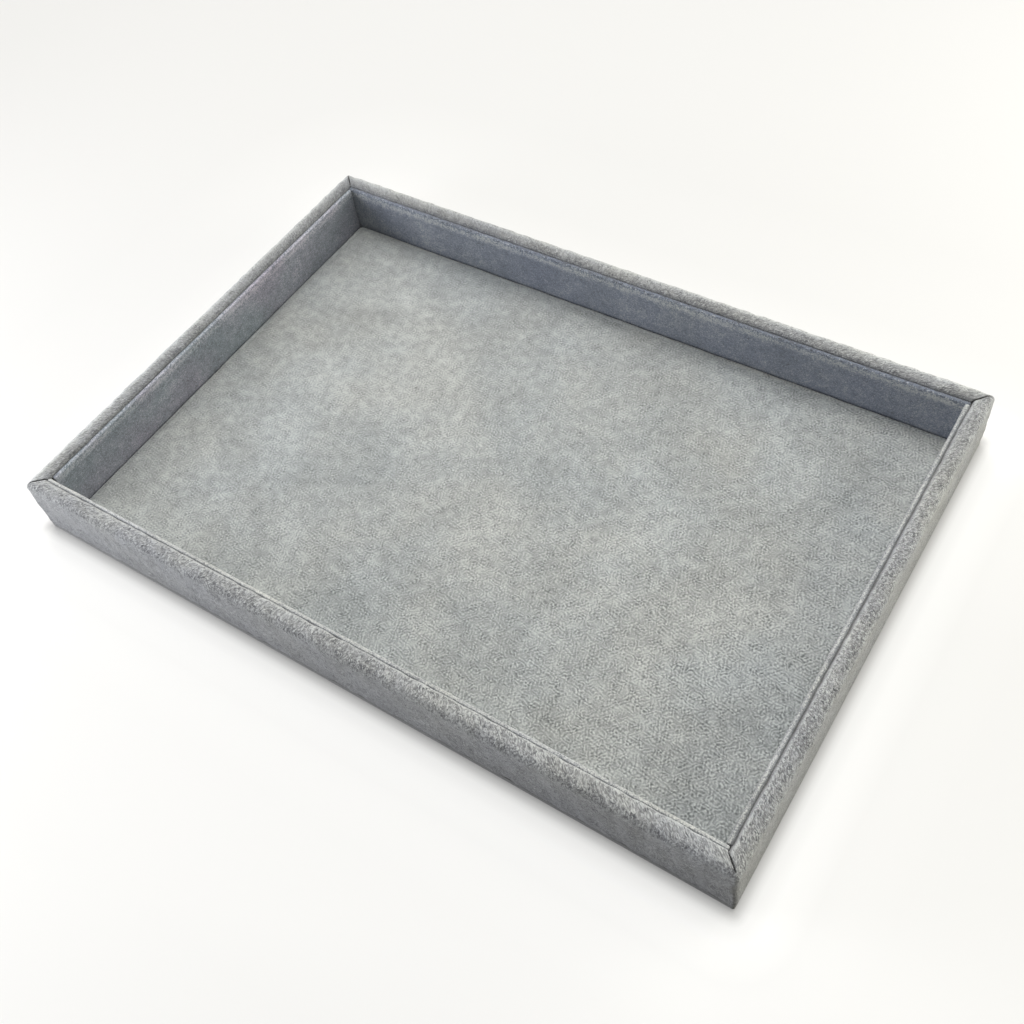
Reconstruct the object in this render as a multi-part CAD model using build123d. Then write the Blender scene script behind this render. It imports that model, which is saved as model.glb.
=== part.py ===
"""Shallow velvet jewelry tray, 350 x 240 x 32 mm, with a loose floor pad.

Millimetres, +Z up. The origin is on the table, under the middle of the tray. X runs along the long sides,
and the front side is the one at -Y.

The tray is a mitred frame of four fibreboard rails with a rounded crown, wrapped in one strip of velvet. It
stands on a velvet-covered base panel. Four thin covered liners line the inside, and a covered pad lies loose
on the floor.
"""

import os

from build123d import *

os.makedirs("parts", exist_ok=True)

# Driving dimensions
tray_length = 350.0  # X, over the velvet of the frame
tray_width = 240.0  # Y, over the velvet of the frame
tray_height = 32.0  # Z, from the table to the top of the crown

# Velvet: backing cloth and nap together
velvet_thickness = 0.7  # where it shows
turned_thickness = 0.5  # where it is turned out of sight and glued down flat

# Base panel
base_board_thickness = 3.0
base_inset = 0.3  # the panel's edge lies this far inside the frame's face
base_corner_radius = 1.0
base_edge_radius = 0.6
base_turn_width = 16.0  # velvet turned over the top face of the board
fold_gap = 0.3  # slit where two turned margins meet on the mitre

# Rails and the strip of velvet round them
rail_thickness = 6.0
rail_corner_radius = 0.9  # eased outer corners of the mitred frame
rail_shoulder_radius = 2.6  # outer side of the crown
rail_groove_radius = 1.2  # inner side of the crown
wrap_foot_radius = 0.5
wrap_lip_depth = 12.0  # how far the strip reaches down the inner side, below the crown
slit_start = 1.5  # distance of a crown slit's outer end from both outer faces
slit_outer_width = 0.55
slit_inner_width = 0.2
seam_gap = 0.15  # butt seam where the strip's two ends meet
seam_distance = 14.0  # from the back left corner, on the back

# Liners
liner_board_thickness = 1.0
liner_drop = 0.8  # the liners' tops lie this far under the top of the crown
liner_top_radius = 0.9
liner_lip_height = 9.0  # velvet turned down or up the back of the board
liner_end_gap = 0.2  # between a liner's end and what it butts against

# Floor pad
pad_clearance = 0.3  # to the liners, all round
pad_board_thickness = 1.5
pad_corner_radius = 2.2
pad_shoulder_radius = 1.6
pad_edge_radius = 0.3
pad_turn_width = 14.0
pad_backing_thickness = 0.3
pad_backing_margin = 5.0  # from the backing sheet's edge to the pad's edge

# Brads, of flat wire with a chisel point
brad_wire_width = 1.25
brad_wire_thickness = 1.0
brad_head_width = 2.0
brad_head_thickness = 0.4
brad_point_length = 1.2
brad_clearance = 0.05
corner_brad_length = 15.0
base_brad_length = 14.0
corner_brad_height_shares = (0.28, 0.72)  # of the rail's height
base_brads_on_long_rail = 4
base_brads_on_short_rail = 3

overrun = 1.0  # how far a cutting shape passes the face that it opens

# Worked out from the sizes above
wrapped_thickness = rail_thickness + 2 * velvet_thickness
base_top = velvet_thickness + base_board_thickness + turned_thickness
rail_bottom = base_top + turned_thickness
rail_height = tray_height - velvet_thickness - rail_bottom
shoulder_radius = rail_shoulder_radius + velvet_thickness
groove_radius = rail_groove_radius + velvet_thickness
corner_radius = rail_corner_radius + velvet_thickness
lip_bottom = tray_height - wrap_lip_depth
liner_thickness = turned_thickness + liner_board_thickness + velvet_thickness
liner_height = tray_height - liner_drop - base_top
liner_inset = wrapped_thickness + liner_thickness
base_brad_depth = velvet_thickness - brad_head_thickness
pad_length = tray_length - 2 * (liner_inset + pad_clearance)
pad_width = tray_width - 2 * (liner_inset + pad_clearance)
pad_bottom = base_top + pad_backing_thickness
pad_board_bottom = pad_bottom + turned_thickness
pad_top = pad_board_bottom + pad_board_thickness + velvet_thickness

# Each side is built as the front and turned into place by this many degrees.
SIDE_TURNS = {"front": 0, "right": 90, "back": 180, "left": 270}
LONG_SIDES = ("front", "back")


def span_of(side):
    """The length along a side, from corner to corner of the frame."""
    return tray_length if side in LONG_SIDES else tray_width


def reach_of(side):
    """The distance from the middle of the tray to a side's outer face."""
    return (tray_width if side in LONG_SIDES else tray_length) / 2


def low_rectangle(width, height):
    """A rectangle whose lowest corner is at the origin of its sketch."""
    return Rectangle(width, height, align=(Align.MIN, Align.MIN))


def round_crown(section, outer_radius, inner_radius):
    """Rounds the two upper corners of a section: the outer one, then the inner one."""
    section = fillet(section.vertices().group_by(Axis.Y)[-1].sort_by(Axis.X)[0], outer_radius)
    return fillet(section.vertices().group_by(Axis.Y)[-1].sort_by(Axis.X)[-1], inner_radius)


def rounded_plate(length, width, thickness, radius):
    """A flat plate standing on the origin, with its upright edges rounded."""
    return extrude(RectangleRounded(length, width, radius), amount=thickness)


def side_bar(section, side, length):
    """Carries a section, drawn with X inwards from the frame's outer face and Y up, along one side."""
    start = Plane(origin=(0, -reach_of(side), 0), x_dir=(0, 1, 0), z_dir=(1, 0, 0))
    bar = extrude(start * section, amount=length / 2, both=True)
    return Rot(0, 0, SIDE_TURNS[side]) * bar


def mitre_wedge(side, depth):
    """The ground that belongs to one side, out to the two mitre planes, as a tall prism."""
    half = span_of(side) / 2
    reach = reach_of(side)
    outline = Polygon(
        (-half - overrun, -reach - overrun),
        (half + overrun, -reach - overrun),
        (half - depth, -reach + depth),
        (-half + depth, -reach + depth),
        align=None,
    )
    return Rot(0, 0, SIDE_TURNS[side]) * extrude(outline, amount=tray_height + overrun)


def corner_places(length, width, height):
    """The four corners of a rectangle, each turned so that its X runs inwards along the mitre."""
    for x_sign, y_sign, turn in ((1, 1, 225), (-1, 1, 315), (-1, -1, 45), (1, -1, 135)):
        yield Location((x_sign * length / 2, y_sign * width / 2, height), (0, 0, turn))


def mitred_ring(section, radius):
    """A section carried round all four sides, mitred, with its outer corners rounded."""
    ring = Part()
    for side in SIDE_TURNS:
        bar = side_bar(section, side, span_of(side))
        ring += bar & mitre_wedge(side, wrapped_thickness + overrun)
    return ring & rounded_plate(tray_length, tray_width, tray_height + overrun, radius)


def fold_slits(length, width, margin, bottom, height):
    """Four slits on the mitres of a velvet margin that is turned in round a rectangle."""
    reach = (margin + overrun) * 2**0.5
    slit = extrude(Rectangle(reach, fold_gap, align=(Align.MIN, Align.CENTER)), amount=height)
    slit = Pos(velvet_thickness * 2**0.5, 0, 0) * slit
    return [corner * slit for corner in corner_places(length, width, bottom)]


def flat_wire(outline, thickness):
    """A closed outline of (across, along) points as a piece of flat wire that runs along +Z."""
    face = Plane.XZ * Polygon(*outline, align=None)
    return extrude(face, amount=thickness / 2, both=True)


def brad(length, extra=0.0, mouth=0.0):
    """A headed brad along +Z, its head's face at the origin. extra and mouth make it the hole for one."""
    head = brad_head_width / 2 + extra
    shank = brad_wire_width / 2 + extra
    neck = brad_head_thickness + extra
    shoulder = length - brad_point_length
    half = [(head, -mouth), (head, neck), (shank, neck), (shank, shoulder), (extra, length + extra)]
    other_half = [(-across, along) for across, along in reversed(half)]
    if extra == 0:
        other_half = other_half[1:]
    return flat_wire(half + other_half, brad_wire_thickness + 2 * extra)


def brad_hole(length):
    """The hole that a brad sits in, open behind its head."""
    return brad(length, brad_clearance, overrun)


def corner_brad_places():
    """Two brads through each mitre, from the outer faces of the long rails into the short ones' ends."""
    across = tray_length / 2 - velvet_thickness - rail_thickness / 2
    face = tray_width / 2 - velvet_thickness
    for x_sign in (-1, 1):
        for y_sign in (-1, 1):
            for share in corner_brad_height_shares:
                height = rail_bottom + share * rail_height
                yield Location((x_sign * across, y_sign * face, height), (y_sign * 90, 0, 0))


def base_brad_places():
    """Brads up through the covered base board into each rail, their heads sunk in the velvet."""
    for side, turn in SIDE_TURNS.items():
        count = base_brads_on_long_rail if side in LONG_SIDES else base_brads_on_short_rail
        pitch = span_of(side) / count
        across = velvet_thickness + rail_thickness / 2 - reach_of(side)
        for i in range(count):
            along = (i + 0.5) * pitch - span_of(side) / 2
            yield Rot(0, 0, turn) * Pos(along, across, base_brad_depth)


def brad_holes(places, length):
    """The hole for one brad at each place."""
    return [place * brad_hole(length) for place in places]


def rail_section():
    """The bare rail: a plain strip with a rounded crown, larger on the outer shoulder."""
    strip = Pos(velvet_thickness, rail_bottom) * low_rectangle(rail_thickness, rail_height)
    return round_crown(strip, rail_shoulder_radius, rail_groove_radius)


def wrap_section():
    """The velvet over a rail: outer face, crown, a lip down the inner side, and a margin turned under."""
    skin = Pos(0, base_top) * low_rectangle(wrapped_thickness, tray_height - base_top)
    skin = round_crown(skin, shoulder_radius, groove_radius)
    foot = skin.vertices().group_by(Axis.Y)[0].sort_by(Axis.X)[0]
    skin = fillet(foot, wrap_foot_radius)
    inner_face = velvet_thickness + rail_thickness
    bare = Pos(inner_face, base_top - overrun) * low_rectangle(
        velvet_thickness + overrun, lip_bottom - base_top + overrun
    )
    return skin - rail_section() - bare


def make_rails():
    """The four mitred rails, drilled by their own brads."""
    solids = {}
    ring_edge = rounded_plate(
        tray_length - 2 * velvet_thickness,
        tray_width - 2 * velvet_thickness,
        tray_height + overrun,
        rail_corner_radius,
    )
    holes = brad_holes(corner_brad_places(), corner_brad_length)
    holes += brad_holes(base_brad_places(), base_brad_length)
    for side in SIDE_TURNS:
        rail = side_bar(rail_section(), side, span_of(side))
        rail = rail & mitre_wedge(side, wrapped_thickness + overrun) & ring_edge
        for hole in holes:
            rail -= hole
        solids[f"{side}_rail"] = rail
    return solids


def make_frame_wrap():
    """The strip of velvet round the frame, slit on the mitres of the crown and open at its butt seam."""
    wrap = mitred_ring(wrap_section(), corner_radius)
    inner = (wrapped_thickness + overrun) * 2**0.5
    outer = slit_start * 2**0.5
    slit = Polygon(
        (outer, -slit_outer_width / 2),
        (inner, -slit_inner_width / 2),
        (inner, slit_inner_width / 2),
        (outer, slit_outer_width / 2),
        align=None,
    )
    cutter = Pos(0, 0, lip_bottom - overrun) * extrude(slit, amount=wrap_lip_depth + 2 * overrun)
    for corner in corner_places(tray_length, tray_width, 0):
        wrap -= corner * cutter
    seam = Pos(seam_distance - tray_length / 2, tray_width / 2, 0) * Box(
        seam_gap, 2 * (wrapped_thickness + overrun), 2 * (tray_height + overrun)
    )
    wrap -= seam
    for hole in brad_holes(base_brad_places(), base_brad_length):
        wrap -= hole
    return {"frame_velvet_wrap": wrap}


def make_base():
    """The base board and the velvet round it, turned over the edges of its top face."""
    length = tray_length - 2 * base_inset
    width = tray_width - 2 * base_inset
    board_length = length - 2 * velvet_thickness
    board_width = width - 2 * velvet_thickness
    board = Pos(0, 0, velvet_thickness) * rounded_plate(
        board_length, board_width, base_board_thickness, base_corner_radius - velvet_thickness
    )
    cover = rounded_plate(length, width, base_top, base_corner_radius)
    cover = fillet(cover.edges().group_by(Axis.Z)[0], base_edge_radius)
    cover = fillet(cover.edges().group_by(Axis.Z)[-1], base_edge_radius)
    window_length = board_length - 2 * base_turn_width
    window_width = board_width - 2 * base_turn_width
    board_top = velvet_thickness + base_board_thickness
    window = Pos(0, 0, board_top + turned_thickness) * Box(window_length, window_width, 2 * turned_thickness)
    cover = cover - board - window
    margin = base_turn_width + velvet_thickness
    for slit in fold_slits(length, width, margin, board_top, turned_thickness + overrun):
        cover -= slit
    for hole in brad_holes(base_brad_places(), base_brad_length):
        cover -= hole
        board -= hole
    return {"base_board": board, "base_velvet_cover": cover}


def liner_length(side):
    """Long liners run from rail to rail, and the short ones butt between them."""
    ends = wrapped_thickness if side in LONG_SIDES else liner_inset
    return span_of(side) - 2 * (ends + liner_end_gap)


def make_liner(side):
    """One liner: a strip of greyboard, and velvet over its face, top and ends, turned onto its back."""
    length = liner_length(side)
    skin = Pos(wrapped_thickness, base_top) * low_rectangle(liner_thickness, liner_height)
    skin = round_crown(skin, liner_top_radius, liner_top_radius)
    board_height = liner_height - velvet_thickness - turned_thickness
    core = Pos(wrapped_thickness + turned_thickness, base_top + turned_thickness) * low_rectangle(
        liner_board_thickness, board_height
    )
    window = Pos(wrapped_thickness - overrun, base_top + liner_lip_height) * low_rectangle(
        turned_thickness + overrun, liner_height - 2 * liner_lip_height
    )
    board_length = length - 2 * turned_thickness
    window_length = board_length - 2 * liner_lip_height
    board = side_bar(core, side, board_length)
    cover = side_bar(skin, side, length) - board - side_bar(window, side, window_length)
    return {f"{side}_liner_board": board, f"{side}_liner_velvet": cover}


def make_floor_pad():
    """The loose pad: greyboard, velvet turned under its edges, and a card sheet under the turned margins."""
    board_length = pad_length - 2 * velvet_thickness
    board_width = pad_width - 2 * velvet_thickness
    board = Pos(0, 0, pad_board_bottom) * rounded_plate(
        board_length, board_width, pad_board_thickness, pad_corner_radius - velvet_thickness
    )
    cover = rounded_plate(pad_length, pad_width, pad_top - pad_bottom, pad_corner_radius)
    cover = Pos(0, 0, pad_bottom) * cover
    cover = fillet(cover.edges().group_by(Axis.Z)[-1], pad_shoulder_radius)
    cover = fillet(cover.edges().group_by(Axis.Z)[0], pad_edge_radius)
    window = Pos(0, 0, pad_bottom) * Box(
        board_length - 2 * pad_turn_width, board_width - 2 * pad_turn_width, 2 * turned_thickness
    )
    cover = cover - board - window
    margin = pad_turn_width + velvet_thickness
    for slit in fold_slits(pad_length, pad_width, margin, pad_bottom - overrun, turned_thickness + overrun):
        cover -= slit
    backing = Pos(0, 0, base_top) * Box(
        pad_length - 2 * pad_backing_margin,
        pad_width - 2 * pad_backing_margin,
        pad_backing_thickness,
        align=(Align.CENTER, Align.CENTER, Align.MIN),
    )
    return {"floor_pad_board": board, "floor_pad_velvet": cover, "floor_pad_backing": backing}


def make_brads():
    """The two sets of brads, each as one node of separate solids."""
    return {
        "corner_brads": Compound([place * brad(corner_brad_length) for place in corner_brad_places()]),
        "base_brads": Compound([place * brad(base_brad_length) for place in base_brad_places()]),
    }


def main():
    """Builds every piece and writes each one to a file of its own."""
    nodes = {}
    nodes.update(make_base())
    nodes.update(make_rails())
    nodes.update(make_frame_wrap())
    for side in SIDE_TURNS:
        nodes.update(make_liner(side))
    nodes.update(make_floor_pad())
    nodes.update(make_brads())
    for name, shape in nodes.items():
        export_step(shape, f"parts/{name}.step")


main()
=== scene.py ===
"""Looks of a shallow velvet jewelry tray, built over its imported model.

Sizes are in millimetres, apart from the lamps' and those that say metres. A mesh is written in
metres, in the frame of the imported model: +Z up, the origin on the table under the middle of the
tray, X along the long sides and the front at -Y.

The soft pieces are the velvet wrap of the frame, the covers of the four liners, the cover of the
loose floor pad and the cover of the base panel. The boards, rails, backing sheet and brads are the
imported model's own, dressed here.
"""

import logging
import math
from collections.abc import Iterable, Mapping, Sequence
from dataclasses import dataclass, replace
from enum import Enum

import bmesh
import bpy
import numpy as np
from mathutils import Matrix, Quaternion, Vector

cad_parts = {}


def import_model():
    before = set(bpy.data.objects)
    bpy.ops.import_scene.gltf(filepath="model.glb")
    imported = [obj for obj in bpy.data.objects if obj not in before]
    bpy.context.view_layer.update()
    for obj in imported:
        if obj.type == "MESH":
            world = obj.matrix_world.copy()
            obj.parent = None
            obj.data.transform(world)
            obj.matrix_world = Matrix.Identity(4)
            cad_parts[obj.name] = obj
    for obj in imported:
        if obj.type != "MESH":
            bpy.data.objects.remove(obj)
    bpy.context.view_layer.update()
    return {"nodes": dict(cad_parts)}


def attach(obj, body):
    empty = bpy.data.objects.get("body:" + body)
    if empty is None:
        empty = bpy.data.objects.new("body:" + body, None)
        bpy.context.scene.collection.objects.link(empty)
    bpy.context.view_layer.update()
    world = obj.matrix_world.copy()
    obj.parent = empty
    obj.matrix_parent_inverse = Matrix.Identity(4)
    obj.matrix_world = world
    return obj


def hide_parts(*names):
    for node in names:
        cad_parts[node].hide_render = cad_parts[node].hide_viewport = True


MM = 0.001  # metres in a millimetre
SAME = 1e-6  # millimetres within which two places are one
LOG = logging.getLogger("velvet_tray")
CLOTH = "cloth_mm"  # the attribute that holds a cloth's own coordinates, in millimetres

Tree = bpy.types.NodeTree
Socket = bpy.types.NodeSocket
Point = tuple[float, float]
Rise = tuple[float, float]  # where an eased step begins, and how far it goes on
Steps = tuple[tuple[float, float], ...]  # pairs of a distance in millimetres and a value there


class Side(Enum):
    """The four sides, by the quarter turns that carry the front one into place."""

    FRONT = 0
    RIGHT = 1
    BACK = 2
    LEFT = 3

    @property
    def is_long(self) -> bool:
        """Whether the side runs along X."""
        return self in (Side.FRONT, Side.BACK)


# Arrays


def arc(centre: Point, radius: float, start: float, stop: float, steps: int) -> np.ndarray:
    """Points on a circular arc: the centre plus the radius times the angles' cosines and sines.

    Args:
        centre: The arc's centre.
        radius: Its radius.
        start: The first angle, in degrees.
        stop: The last angle, in degrees.
        steps: How many spaces lie between the points.

    Returns:
        An array of steps + 1 points.
    """
    angle = np.radians(np.linspace(start, stop, steps + 1))
    x = centre[0] + radius * np.cos(angle)
    y = centre[1] + radius * np.sin(angle)
    return np.stack([x, y], axis=1)


def straight(start: Point, stop: Point, pitch: float) -> np.ndarray:
    """Points on a straight run, evenly spread and no further apart than the pitch.

    Args:
        start: The first point.
        stop: The last point.
        pitch: The largest distance between neighbours.

    Returns:
        An array of points, both ends included.
    """
    steps = max(1, math.ceil(math.dist(start, stop) / pitch))
    return np.linspace(start, stop, steps + 1)


def joined(*runs: np.ndarray) -> np.ndarray:
    """Runs of points end to end, with a point that repeats the one before it left out.

    Args:
        runs: The runs, in order.

    Returns:
        One array of points.
    """
    points = np.concatenate(runs)
    step = np.linalg.norm(np.diff(points, axis=0), axis=1)
    return points[np.concatenate([[True], step > SAME])]


def length_along(points: np.ndarray) -> np.ndarray:
    """The length of a line up to each of its points: the running sum of its steps."""
    step = np.linalg.norm(np.diff(points, axis=0), axis=1)
    return np.concatenate([[0.0], np.cumsum(step)])


def side_normals(points: np.ndarray) -> np.ndarray:
    """Unit vectors a quarter turn clockwise from a line, which is outwards for the sections here.

    The direction at a point is the mean of the two unit steps that meet there.

    Args:
        points: The line's points.

    Returns:
        One vector for each point.
    """
    step = np.diff(points, axis=0)
    step /= np.linalg.norm(step, axis=1, keepdims=True)
    mean = np.concatenate([step[:1], step]) + np.concatenate([step, step[-1:]])
    mean /= np.maximum(np.linalg.norm(mean, axis=1, keepdims=True), 1e-9)
    return np.stack([mean[:, 1], -mean[:, 0]], axis=1)


def ease(value: np.ndarray, start: float | np.ndarray = 0.0, width: float = 1.0) -> np.ndarray:
    """Smooth step: 3t^2 - 2t^3, with t the value's way from the start over the width, from 0 to 1.

    Args:
        value: The values.
        start: Where the step begins.
        width: How far it goes on. A negative width makes the step fall with a growing value.

    Returns:
        An array from 0 to 1.
    """
    held = np.clip((value - start) / width, 0.0, 1.0)
    return held * held * (3.0 - 2.0 * held)


def bowed(values: Sequence[float] | np.ndarray, share: np.ndarray) -> np.ndarray:
    """A parabola through three values: m + (b - a) / 2 * s + ((a + b) / 2 - m) * s^2.

    Args:
        values: The values a, m and b at shares of -1, 0 and 1.
        share: The places s.

    Returns:
        The value at each place.
    """
    start, middle, end = values
    return middle + 0.5 * (end - start) * share + (0.5 * (start + end) - middle) * share**2


def on_side(
    along: np.ndarray, across: np.ndarray, height: np.ndarray, turn: np.ndarray | float
) -> np.ndarray:
    """Places given on the front side, turned about Z on to their own side.

    Args:
        along: Distances along the side from its middle.
        across: Distances behind the middle of the tray, so that the front is negative.
        height: Heights above the table.
        turn: The turn, in radians.

    Returns:
        An array of points, in the last axis.
    """
    x = along * np.cos(turn) - across * np.sin(turn)
    y = along * np.sin(turn) + across * np.cos(turn)
    return np.stack([x, y, np.broadcast_to(height, x.shape)], axis=-1)


@dataclass(frozen=True)
class Waviness:
    """A gentle unevenness of a hand-wrapped surface: a sum of sine waves in random directions.

    The value at a point is the mean of sin(k.p + phase) over the waves, times the square root of
    twice their number, so it stays near 1 in size whatever their number.
    """

    longest: float
    shortest: float
    seed: int
    waves: int = 18

    def at(self, points: np.ndarray) -> np.ndarray:
        """The unevenness at each point.

        Args:
            points: Points in millimetres, in the last axis.

        Returns:
            An array of the points' shape without its last axis.
        """
        rng = np.random.default_rng(self.seed)
        direction = rng.normal(size=(self.waves, 3))
        direction /= np.linalg.norm(direction, axis=1, keepdims=True)
        logs = rng.uniform(math.log(self.shortest), math.log(self.longest), self.waves)
        phase = rng.uniform(0.0, 2.0 * math.pi, self.waves)
        wave = (2.0 * math.pi / np.exp(logs))[:, None] * direction
        total = np.zeros(points.shape[:-1])
        for vector, shift in zip(wave, phase):
            total += np.sin(points @ vector + shift)
        return total * math.sqrt(2.0 / self.waves)


@dataclass
class Sheet:
    """A grid of points, with the cloth's own coordinates at each, and the faces between them."""

    points: np.ndarray
    cloth: np.ndarray

    def quads(self) -> np.ndarray:
        """The faces: each joins a point to its neighbours along the rows and the columns."""
        rows, columns = self.points.shape[:2]
        corner = np.arange(rows - 1)[:, None] * columns + np.arange(columns - 1)[None, :]
        loop = [corner, corner + 1, corner + columns + 1, corner + columns]
        return np.stack(loop, axis=-1).reshape(-1, 4)


def made(
    name: str, sheets: Iterable[Sheet], weld: float = 2e-4, inward: bool = False
) -> bpy.types.Object:
    """Writes grids into one mesh, welds them where they meet, and closes and faces it.

    A flat opening that is left is closed by one face, and the faces then point outwards.

    Args:
        name: The piece's name.
        sheets: The grids, all with the same facing.
        weld: Points nearer than this, in millimetres, become one.
        inward: Whether the faces look into the closed space, as on the wall of a hollow.

    Returns:
        The piece, at the origin.
    """
    points, quads, cloth, first = [], [], [], 0
    for sheet in sheets:
        faces = sheet.quads()
        points.append(sheet.points.reshape(-1, 3))
        cloth.append(sheet.cloth.reshape(-1, 3)[faces.ravel()])
        quads.append(faces + first)
        first += len(points[-1])
    mesh = bpy.data.meshes.new(name)
    mesh.from_pydata((np.concatenate(points) * MM).tolist(), [], np.concatenate(quads).tolist())
    attribute = mesh.attributes.new(CLOTH, "FLOAT_VECTOR", "CORNER")
    attribute.data.foreach_set("vector", np.concatenate(cloth).astype(np.float32).ravel())
    work = bmesh.new()
    work.from_mesh(mesh)
    bmesh.ops.remove_doubles(work, verts=work.verts, dist=weld * MM)
    bmesh.ops.holes_fill(work, edges=[edge for edge in work.edges if edge.is_boundary], sides=0)
    bmesh.ops.recalc_face_normals(work, faces=work.faces)
    if (work.calc_volume(signed=True) < 0) != inward:
        bmesh.ops.reverse_faces(work, faces=work.faces)
    for face in work.faces:
        face.smooth = True
    work.to_mesh(mesh)
    work.free()
    piece = bpy.data.objects.new(name, mesh)
    bpy.context.scene.collection.objects.link(piece)
    return piece


# The ring that all the wrapped edges share

SIDE, SHARE, SETBACK, ANGLE, CUT, SEAM = FIELDS = range(6)  # the places of the fields of Columns


@dataclass(frozen=True)
class Columns:
    """Where the columns of a ring stand. Every field is an array with one value a column.

    side is the number of quarter turns, share runs from -1 to 1 along the side, setback is the
    distance back from the mitre, angle is the turn round a corner, and cut and seam are how fully a
    column sinks into the mitre's cut and into the butt seam.
    """

    side: np.ndarray
    share: np.ndarray
    setback: np.ndarray
    angle: np.ndarray
    cut: np.ndarray
    seam: np.ndarray

    @property
    def number(self) -> np.ndarray:
        """The side's number, to look values up by."""
        return self.side.astype(int)


@dataclass(frozen=True)
class Ring:
    """A rectangle with rounded corners, and the way a section is carried round it."""

    length: float
    width: float
    radius: float
    pitch: float = 1.2
    corner_steps: int = 6
    cut_lip: Steps = ((0.0, 1.0), (0.02, 0.8), (0.08, 0.3), (0.22, 0.07), (0.5, 0.0))
    cut_room: float = 1.4  # kept free for that lip at each end of a side
    seam_lip: Steps = ((-0.4, 0.0), (-0.12, 0.15), (0.12, 0.15), (0.4, 0.0))
    seam_width: float = 0.15
    seam_room: float = 0.7  # kept free for that lip on both sides of the seam

    def half(self, side: Side) -> float:
        """Half the length along a side."""
        return (self.length if side.is_long else self.width) / 2

    @property
    def halves(self) -> np.ndarray:
        """Half the length along each side."""
        return np.array([self.half(side) for side in Side])

    def run(self, side: Side, inner: float, seam_from_end: float) -> np.ndarray:
        """The columns along one side, between its corners.

        Args:
            side: The side.
            inner: The share of the side that the columns fill.
            seam_from_end: The distance of the butt seam from the side's end, or zero for none.

        Returns:
            One row a column, with the values of Columns in it.
        """
        half = self.half(side)
        spaces = max(4, round(2 * half * inner / self.pitch))
        plain = np.zeros((spaces + 1, len(FIELDS)))
        plain[:, SHARE] = np.linspace(-inner, inner, spaces + 1)
        if not seam_from_end:
            return plain
        middle = 1.0 - seam_from_end / half
        walls = [(-0.5 * self.seam_width, 1.0), (0.5 * self.seam_width, 1.0)]
        lip = np.array(sorted([*self.seam_lip, *walls]))
        seam = np.zeros((len(lip), len(FIELDS)))
        seam[:, SHARE], seam[:, SEAM] = middle + lip[:, 0] / half, lip[:, 1]
        keep = np.abs(plain[:, SHARE] - middle) > self.seam_room / half
        both = np.concatenate([plain[keep], seam])
        return both[np.argsort(both[:, SHARE], kind="stable")]

    def columns(self, cut_width: float = 0.0, seam_from_end: float = 0.0) -> Columns:
        """Spreads the columns round the ring, closer together at a cut.

        Args:
            cut_width: The width of the cut along each mitre. Zero leaves the mitres plain.
            seam_from_end: The distance of the butt seam on the back from the back left corner, or
                zero for none.

        Returns:
            The columns, the last one a repeat of the first.
        """
        wall = cut_width / 2 * math.sqrt(2.0)
        lip = np.array(self.cut_lip if cut_width else np.zeros((0, 2)))
        rows: list[np.ndarray] = []
        for side in Side:
            inner = 1.0 - self.cut_room / self.half(side) if cut_width else 1.0
            start = np.zeros((len(lip), len(FIELDS)))
            start[:, SHARE], start[:, SETBACK], start[:, CUT] = -1.0, wall + lip[:, 0], lip[:, 1]
            stop = start[::-1].copy()
            stop[:, SHARE] = 1.0
            corner = np.zeros((self.corner_steps + 1, len(FIELDS)))
            corner[:, SHARE] = 1.0
            corner[:, ANGLE] = np.linspace(0.0, math.pi / 2, self.corner_steps + 1)
            corner[:, CUT] = 1.0 if cut_width else 0.0
            plain = self.run(side, inner, seam_from_end if side is Side.BACK else 0.0)
            block = np.concatenate([start, plain, stop, corner])
            block[:, SIDE] = side.value
            rows.append(block)
        return Columns(*np.concatenate([*rows, rows[0][:1]]).T)

    def carry(
        self,
        section: np.ndarray,
        columns: Columns,
        sink: np.ndarray | float = 0.0,
        spread: np.ndarray | float = 1.0,
        lean: np.ndarray | float = 0.0,
    ) -> Sheet:
        """Carries a section, given as inset from the outline and height, round all four sides.

        With h half the side's length, g the distance of its face from the middle, r the corner
        radius, d a point's inset and m the larger of d and r: the point lies share * (h - m) along
        the side and g - m from the middle, and then max(r - d, 0) further out, in the direction of
        the column's angle. So the outside goes round an arc, and anything deeper than the radius is
        mitred.

        Args:
            section: Rows of (inset, height).
            columns: Where the section is placed.
            sink: How far each point of the grid is moved against the section's normal.
            spread: How much of its setback each point has.
            lean: How far each point of the grid is moved inwards.

        Returns:
            The grid, with the length round the ring and the length along the section as the cloth's
            coordinates.
        """
        normal = side_normals(section)
        inset = section[:, :1] - normal[:, :1] * sink + lean
        height = section[:, 1:] - normal[:, 1:] * sink
        halves, number = self.halves, columns.number
        half, reach = halves[number], halves[(number + 1) % 4]
        deep = np.maximum(inset, self.radius)
        round_off = np.maximum(self.radius - inset, 0.0)
        back = np.sign(columns.share) * columns.setback * spread
        along = columns.share * (half - deep) - back + round_off * np.sin(columns.angle)
        across = round_off * -np.cos(columns.angle) - (reach - deep)
        before = np.concatenate([[0.0], np.cumsum(2 * halves)])[number]
        corner = self.radius * columns.angle
        around = before + columns.share * (half - self.radius) + half + corner
        around[-1] += 2 * halves.sum()
        cloth = np.broadcast_arrays(around[None, :], length_along(section)[:, None], 0.0)
        points = on_side(along, across, height, columns.side * (math.pi / 2))
        return Sheet(points, np.stack(cloth, axis=-1))

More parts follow.
